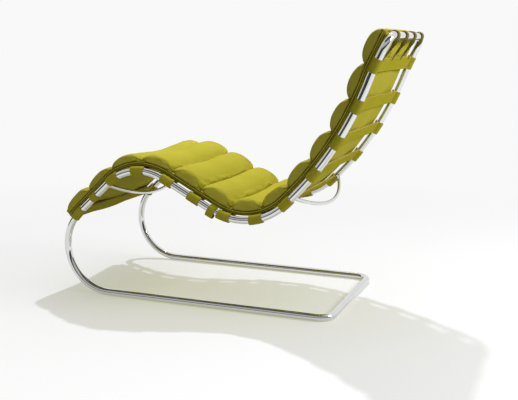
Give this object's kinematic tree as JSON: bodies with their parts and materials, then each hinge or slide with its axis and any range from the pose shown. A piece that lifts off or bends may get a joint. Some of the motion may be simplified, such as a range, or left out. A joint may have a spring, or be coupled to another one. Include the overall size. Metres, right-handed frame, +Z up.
{
  "type": "cantilever lounge chair",
  "caption": "Long reclining lounge chair: a bent polished tube frame, leather bands slung across its rails, and a cushion of sewn rolls held on by belts and head loops.",
  "frame": {"origin": "on the floor, under the middle of the chair's overall length and width", "axes": "+X from the toe end towards the head end, +Y from the rail on the seated sitter's left towards the one on the right, +Z up"},
  "size_m": [1.199, 0.608, 0.9606],
  "materials": {
    "polished_tube": "polished",
    "band_leather": "satin",
    "cushion_leather": "satin"
  },
  "bodies": {
    "root": {"frame_tube_near": "polished_tube", "frame_tube_far": "polished_tube", "joint_sleeve_floor": "polished_tube", "joint_sleeve_top": "polished_tube", "sling_band_01": "band_leather", "sling_band_02": "band_leather", "sling_band_03": "band_leather", "sling_band_04": "band_leather", "sling_band_05": "band_leather", "sling_band_06": "band_leather", "sling_band_07": "band_leather", "sling_band_08": "band_leather", "sling_band_09": "band_leather", "sling_band_10": "band_leather", "sling_band_11": "band_leather", "sling_band_12": "band_leather", "tie_bar_knee": "polished_tube", "tie_bar_lumbar": "polished_tube", "cushion_belt_knee_near": "band_leather", "cushion_belt_seat_near": "band_leather", "cushion_belt_knee_far": "band_leather", "cushion_belt_seat_far": "band_leather", "head_loop_1": "band_leather", "head_loop_2": "band_leather", "head_loop_3": "band_leather", "head_loop_4": "band_leather", "cushion_base": "cushion_leather", "cushion_roll_01": "cushion_leather", "cushion_roll_02": "cushion_leather", "cushion_roll_03": "cushion_leather", "cushion_roll_04": "cushion_leather", "cushion_roll_05": "cushion_leather", "cushion_roll_06": "cushion_leather", "cushion_roll_07": "cushion_leather", "cushion_roll_08": "cushion_leather", "cushion_roll_09": "cushion_leather", "cushion_roll_10": "cushion_leather", "cushion_roll_11": "cushion_leather", "cushion_roll_12": "cushion_leather", "cushion_roll_13": "cushion_leather"}
  },
  "joints": []
}
